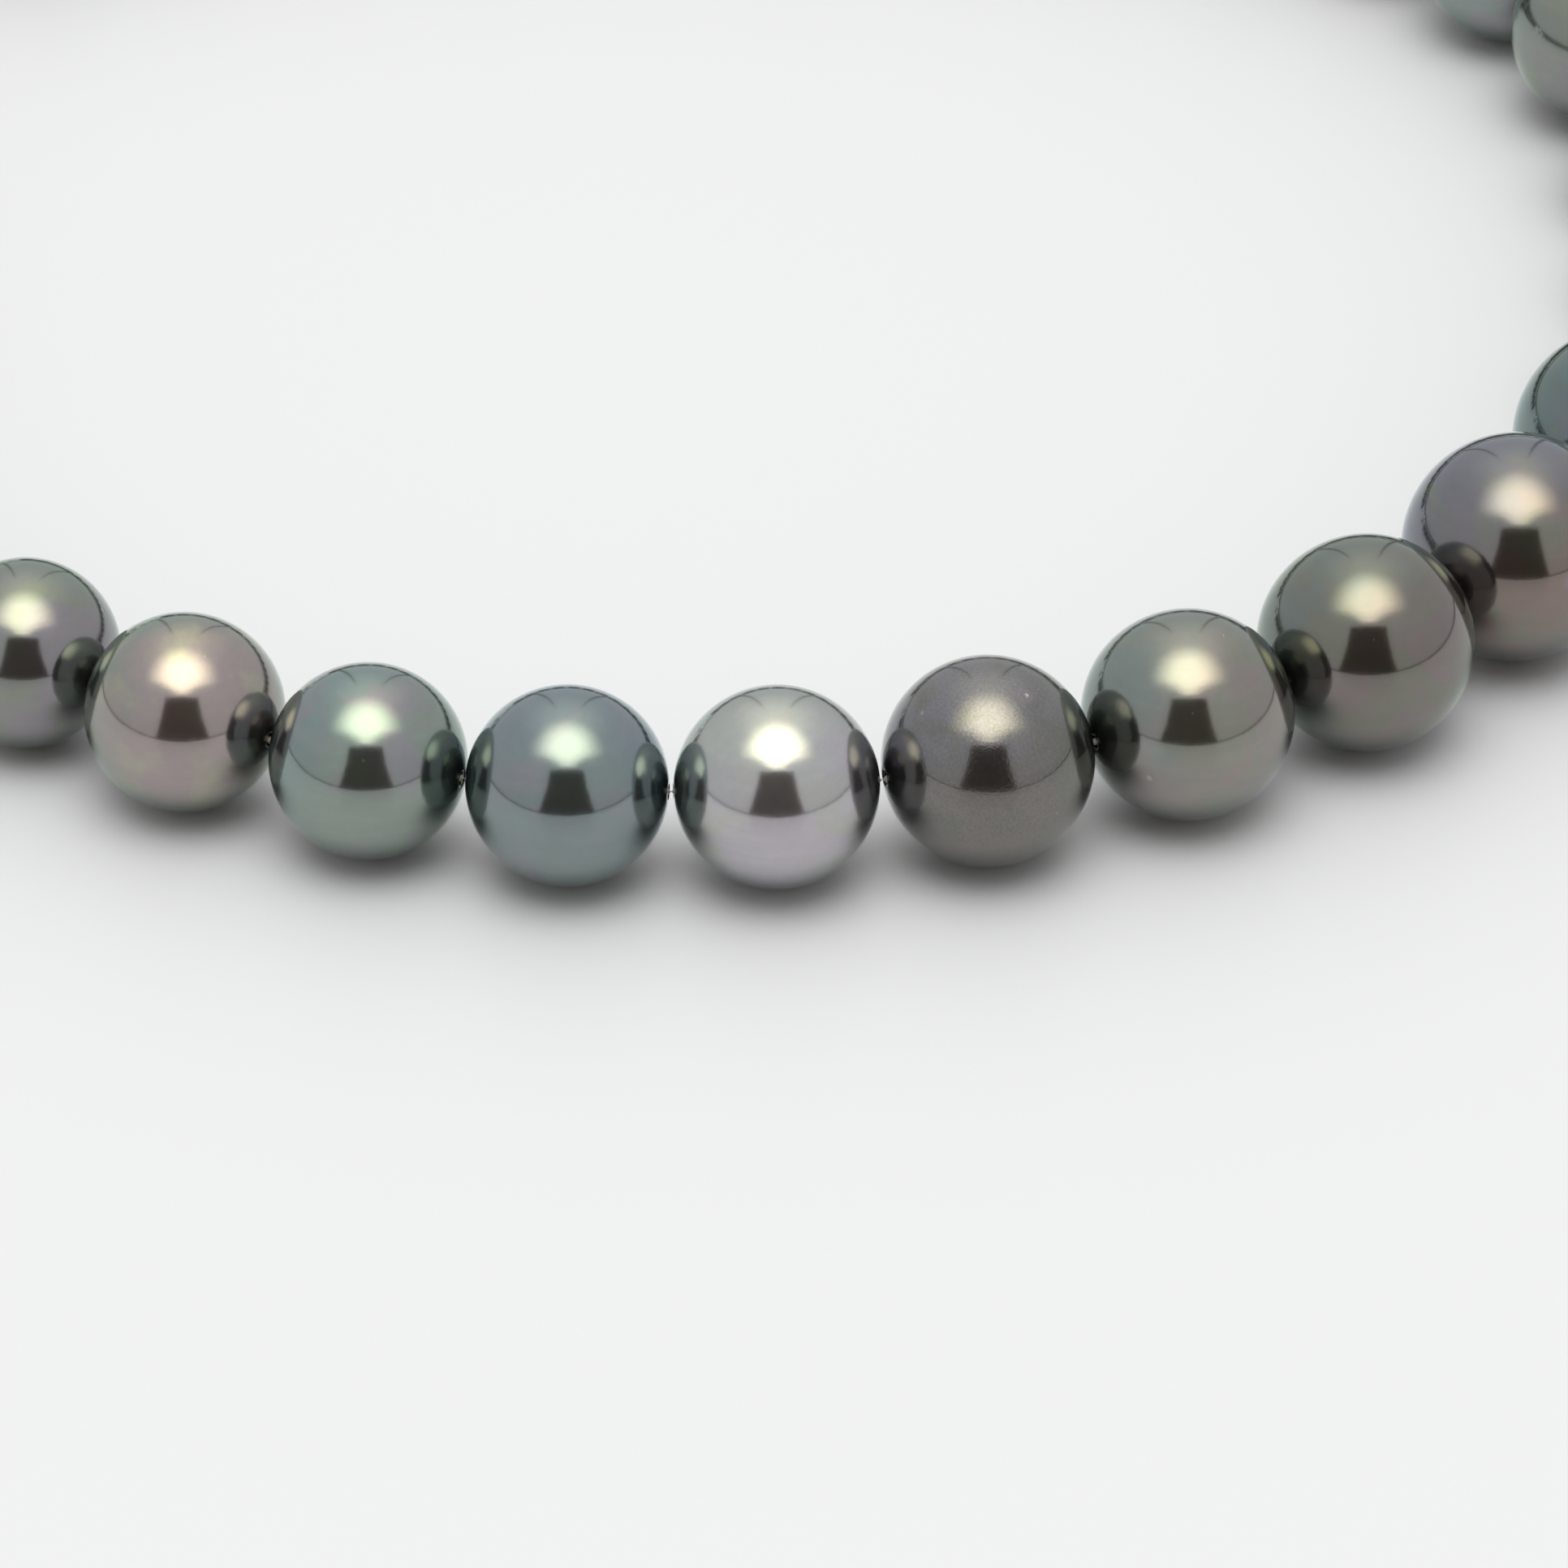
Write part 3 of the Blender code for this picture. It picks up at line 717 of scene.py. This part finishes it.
def strip(path, half_width, half_thickness):
    """Flat bar along a path in the along-up plane, with a rounded-rectangle section.

    Section: (w * c^0.3, h * s^0.3) with the signs of cos and sin kept; both ends close on the path.
    """
    tangent = unit(np.gradient(path, axis=0))
    normal = np.stack([-tangent[:, 2], 0 * tangent[:, 0], tangent[:, 0]], -1)
    a = np.linspace(0, 2 * np.pi, 32, endpoint=False)
    wide = np.sign(np.cos(a)) * np.abs(np.cos(a)) ** 0.3
    high = np.sign(np.sin(a)) * np.abs(np.sin(a)) ** 0.3
    width = np.broadcast_to(half_width, len(path))[:, None, None]
    thick = np.broadcast_to(half_thickness, len(path))[:, None, None]
    grid = path[:, None] + normal[:, None] * high[None, :, None] * thick
    grid = grid + np.array([0.0, 1.0, 0.0]) * wide[None, :, None] * width
    first = np.broadcast_to(path[:1, None], (1, len(a), 3))
    last = np.broadcast_to(path[-1:, None], (1, len(a), 3))
    return np.concatenate([first, grid, last])


def add_lower_leaf(axes):
    """Straight leaf that folds up and back over itself, its end held inside the spring leaf."""
    x = np.linspace(COLLAR_END - 0.0002, FOLD_X, 30)
    straight = np.stack([x, 0 * x, np.full_like(x, LOWER_LEAF_Z)], -1)
    bend = (FOLD_Z - LOWER_LEAF_Z) / 2
    t = np.linspace(-np.pi / 2, np.pi / 2 - LEAF_RISE, 17)[1:]
    fold = np.stack([FOLD_X + bend * np.cos(t), 0 * t, LOWER_LEAF_Z + bend + bend * np.sin(t)], -1)
    back = np.array([-math.cos(LEAF_RISE), 0.0, math.sin(LEAF_RISE)])
    held = fold[-1] + back * np.array([[0.00008], [0.00016], [0.00024]])
    path = np.concatenate([straight, fold, held])
    taper = np.ones(len(path))
    taper[-4:] = (0.96, 0.82, 0.74, 0.66)
    item = surface(
        "clasp_tongue_leaf",
        placed(strip(path, LEAF_HALF_WIDTH * (0.9 + 0.1 * taper), LEAF_HALF_THICKNESS * taper), axes),
    )
    finish_piece(item, "clasp_tongue", white_gold, "clasp_lower_leaf")


def risen(points):
    """Points of the spring leaf's own frame, tilted about the fold."""
    back, lift = points[..., 0], points[..., 2]
    x = FOLD_X + back * math.cos(LEAF_RISE) + lift * math.sin(LEAF_RISE)
    z = FOLD_Z - back * math.sin(LEAF_RISE) + lift * math.cos(LEAF_RISE)
    return np.stack([x, points[..., 1], z], -1)


def add_spring_leaf(axes):
    """Upper leaf, wide to its shoulders and then a narrow neck, bowed a little upwards."""
    wide_part = np.linspace(-0.00005, SHOULDER - 0.0003, 24)
    back = -np.concatenate([wide_part, np.linspace(SHOULDER - 0.0002, NECK_END, 26)])
    bow = 0.00010 * np.sin(np.pi * back / -NECK_END)
    path = np.stack([back, 0 * back, bow], -1)
    narrow = soft_step(-back, SHOULDER - 0.00008, SHOULDER + 0.00008)
    width = LEAF_HALF_WIDTH + (NECK_HALF_WIDTH - LEAF_HALF_WIDTH) * narrow
    item = surface("clasp_leaf", placed(risen(strip(path, width, LEAF_HALF_THICKNESS)), axes))
    finish_piece(item, "clasp_spring", white_gold, "clasp_spring_leaf")


def add_thumb_tab(axes):
    """Upright tab with a rounded crown and fine grip lines on its faces."""
    lift = np.linspace(TAB_LOW, TAB_HIGH, 60)
    path = np.stack([np.full_like(lift, -NECK_END + TAB_HALF_LENGTH), 0 * lift, lift], -1)
    crown = np.sqrt(np.clip(1 - ((lift - TAB_HIGH + 0.0004) / 0.0004).clip(0, 1) ** 2, 0.02, 1))
    grip = 1 + 0.07 * np.cos(2 * np.pi * lift / 0.00022) * soft_step(lift, 0.0006, 0.0008)
    shape = strip(path, TAB_HALF_WIDTH * crown, TAB_HALF_LENGTH * grip * crown)
    item = surface("clasp_tab", placed(risen(shape), axes))
    finish_piece(item, "clasp_spring", white_gold, "clasp_thumb_tab")


def add_clasp():
    ball_hinge = np.array(joints["clasp_ball_swing"]["pos_m"])
    tongue_hinge = np.array(joints["clasp_tongue_swing"]["pos_m"])
    across = level_of(tongue_hinge - ball_hinge, 0.0)
    ball, tongue = axes_of(ball_hinge, across), axes_of(tongue_hinge, -across)
    add_clasp_ring("clasp_ring_ball", "clasp_ball", ball, "clasp_ball_ring")
    add_clasp_ring("clasp_ring_tongue", "clasp_tongue", tongue, "clasp_tongue_ring")
    ring_edge = RING_OFFSET + RING_RADIUS + RING_WIRE * 0.5
    add_post("clasp_post_ball", "clasp_ball", ball, ring_edge, RING_END + 0.0002)
    add_post("clasp_post_tongue", "clasp_tongue", tongue, ring_edge, RING_END + 0.0001)
    add_ball(ball)
    add_mouth_plate(ball)
    add_collar(tongue)
    add_lower_leaf(tongue)
    add_spring_leaf(tongue)
    add_thumb_tab(tongue)


# Studio


def add_camera():
    data = bpy.data.cameras.new("camera")
    data.lens = LENS_MM
    data.sensor_width = 36.0
    data.clip_start = 0.01
    data.clip_end = 20.0
    camera = bpy.data.objects.new("camera", data)
    camera.location = CAMERA_PLACE
    camera.rotation_euler = (math.pi / 2 - VIEW_TILT, 0.0, -VIEW_TURN)
    bpy.context.scene.collection.objects.link(camera)
    bpy.context.scene.camera = camera


def add_floor():
    reach = 2.5
    corners = np.array([[-reach, -reach, 0], [reach, -reach, 0], [reach, reach, 0], [-reach, reach, 0]])
    mesh = bpy.data.meshes.new("floor")
    mesh.from_pydata(corners.tolist(), [], [(0, 1, 2, 3)])
    floor = bpy.data.objects.new("floor", mesh)
    bpy.context.scene.collection.objects.link(floor)
    made = bpy.data.materials.new("floor")
    made.use_nodes = True
    shader = made.node_tree.nodes["Principled BSDF"]
    n = Nodes(made.node_tree)
    seen = n.add("ShaderNodeLightPath").outputs["Is Camera Ray"]
    n.put(shader, "Base Color", n.mix(seen, (0.70, 0.70, 0.70, 1), (0.575, 0.576, 0.580, 1)))
    shader.inputs["Roughness"].default_value = 0.40
    shader.inputs["Specular IOR Level"].default_value = 0.30
    mesh.materials.append(made)


def overhead_light(n, high, wide):
    """Strength of the soft panel overhead, cut off crisply in front, with a glow round it."""
    rise = n.math("DIVIDE", n.math("SUBTRACT", high, 1.36), 0.48)
    spread = n.math("DIVIDE", wide, n.ramp(high, 0.9, 1.35, 0.16, 0.45))
    blob = n.math("SQRT", n.math("ADD", n.math("POWER", rise, 2.0), n.math("POWER", spread, 2.0)))
    panel = n.math("MULTIPLY", n.ramp(high, 0.93, 1.0), n.ramp(blob, 0.35, 1.5, 1.0, 0.0))
    glow = n.math("MULTIPLY", n.ramp(high, 0.93, 1.3), n.ramp(high, 1.8, 3.0, 1.0, 0.0))
    glow = n.math("MULTIPLY", glow, n.ramp(wide, 0.0, 0.72, 1.0, 0.0))
    return n.math("MULTIPLY_ADD", panel, 3.4, n.math("MULTIPLY", glow, 0.80))


def tent_opening(n, high, wide, up, front):
    """The dark gap the necklace is looked at through, narrower at its top."""
    opening = n.math("MULTIPLY", n.ramp(high, 0.0, 0.03), n.ramp(high, 0.86, 0.94, 1.0, 0.0))
    reach = n.math("MULTIPLY_ADD", up, -0.25, 0.50)
    opening = n.math("MULTIPLY", opening, n.ramp(n.math("SUBTRACT", wide, reach), -0.03, 0.03, 1.0, 0.0))
    return n.math("MULTIPLY", opening, n.math("GREATER_THAN", front, 0.0))


def tent_lines(n, wide, back, up):
    """The tent's hem all round at table height, and two upright seams at the back."""
    hem = n.ramp(n.math("ABSOLUTE", n.math("SUBTRACT", up, 0.012)), 0.008, 0.026, 1.0, 0.0)
    fold = n.math("ABSOLUTE", n.math("SUBTRACT", wide, n.math("MULTIPLY", back, 0.23)))
    seam = n.math("MULTIPLY", n.ramp(fold, 0.006, 0.02, 1.0, 0.0), n.math("GREATER_THAN", back, 0.0))
    seam = n.math("MULTIPLY", seam, n.ramp(up, 0.55, 0.78, 1.0, 0.0))
    return n.math("MAXIMUM", n.math("MULTIPLY", hem, 0.80), n.math("MULTIPLY", seam, 0.60))


def add_tent():
    """A pale light tent, by direction: light overhead, an opening in front, a hem and seams."""
    world = bpy.data.worlds.new("tent")
    world.use_nodes = True
    bpy.context.scene.world = world
    n = Nodes(world.node_tree)
    sight = world.node_tree.nodes["Background"]
    turn = n.add("ShaderNodeVectorRotate", Vector=n.add("ShaderNodeTexCoord").outputs["Generated"])
    turn.rotation_type = "Z_AXIS"
    turn.inputs["Angle"].default_value = VIEW_TURN
    side, back, up = n.add("ShaderNodeSeparateXYZ", Vector=turn.outputs[0]).outputs
    front = n.math("MULTIPLY", back, -1.0)
    wide = n.math("ABSOLUTE", side)
    high = n.math("ARCTAN2", up, front)
    opening = tent_opening(n, high, wide, up, front)
    light = n.ramp(up, 0.0, 0.9, 0.86, 0.98)
    light = n.math("MULTIPLY", light, n.math("SUBTRACT", 1.0, tent_lines(n, wide, back, up)))
    light = n.math("MULTIPLY", light, n.math("SUBTRACT", 1.0, n.math("MULTIPLY", opening, 0.88)))
    paths = n.add("ShaderNodeLightPath").outputs
    cool = n.mix(opening, (0.99, 0.995, 1.0, 1), (1.0, 0.86, 0.72, 1))
    tint = n.mix(paths["Is Glossy Ray"], (0.90, 0.90, 0.90, 1), (1.0, 0.945, 0.66, 1))
    warm = n.vector("SCALE", tint, scale=overhead_light(n, high, wide))
    total = n.vector("ADD", n.vector("SCALE", cool, scale=light), warm)
    n.put(sight, "Color", n.mix(paths["Is Camera Ray"], total, (0.89, 0.89, 0.895, 1)))


def build():
    add_camera()
    add_floor()
    add_tent()
    bpy.context.scene.view_settings.view_transform = "Standard"
    middle, radius = middle_of("pearl_front")
    add_pearl("pearl_front", "front", FRONT_OVERTONE, middle, (1, 0, 0), radius, 5.0)
    reach = np.array([radius + HALF_GAP, 0, 0])
    add_thread("thread_front", "front", middle - reach, middle + reach, "silk_thread")
    for side, overtones in (("left", LEFT_OVERTONES), ("right", RIGHT_OVERTONES)):
        last = add_side(side, overtones, radius)
        add_knot(side, *last)
        add_end_loop(side, *last)
    add_clasp()


build()
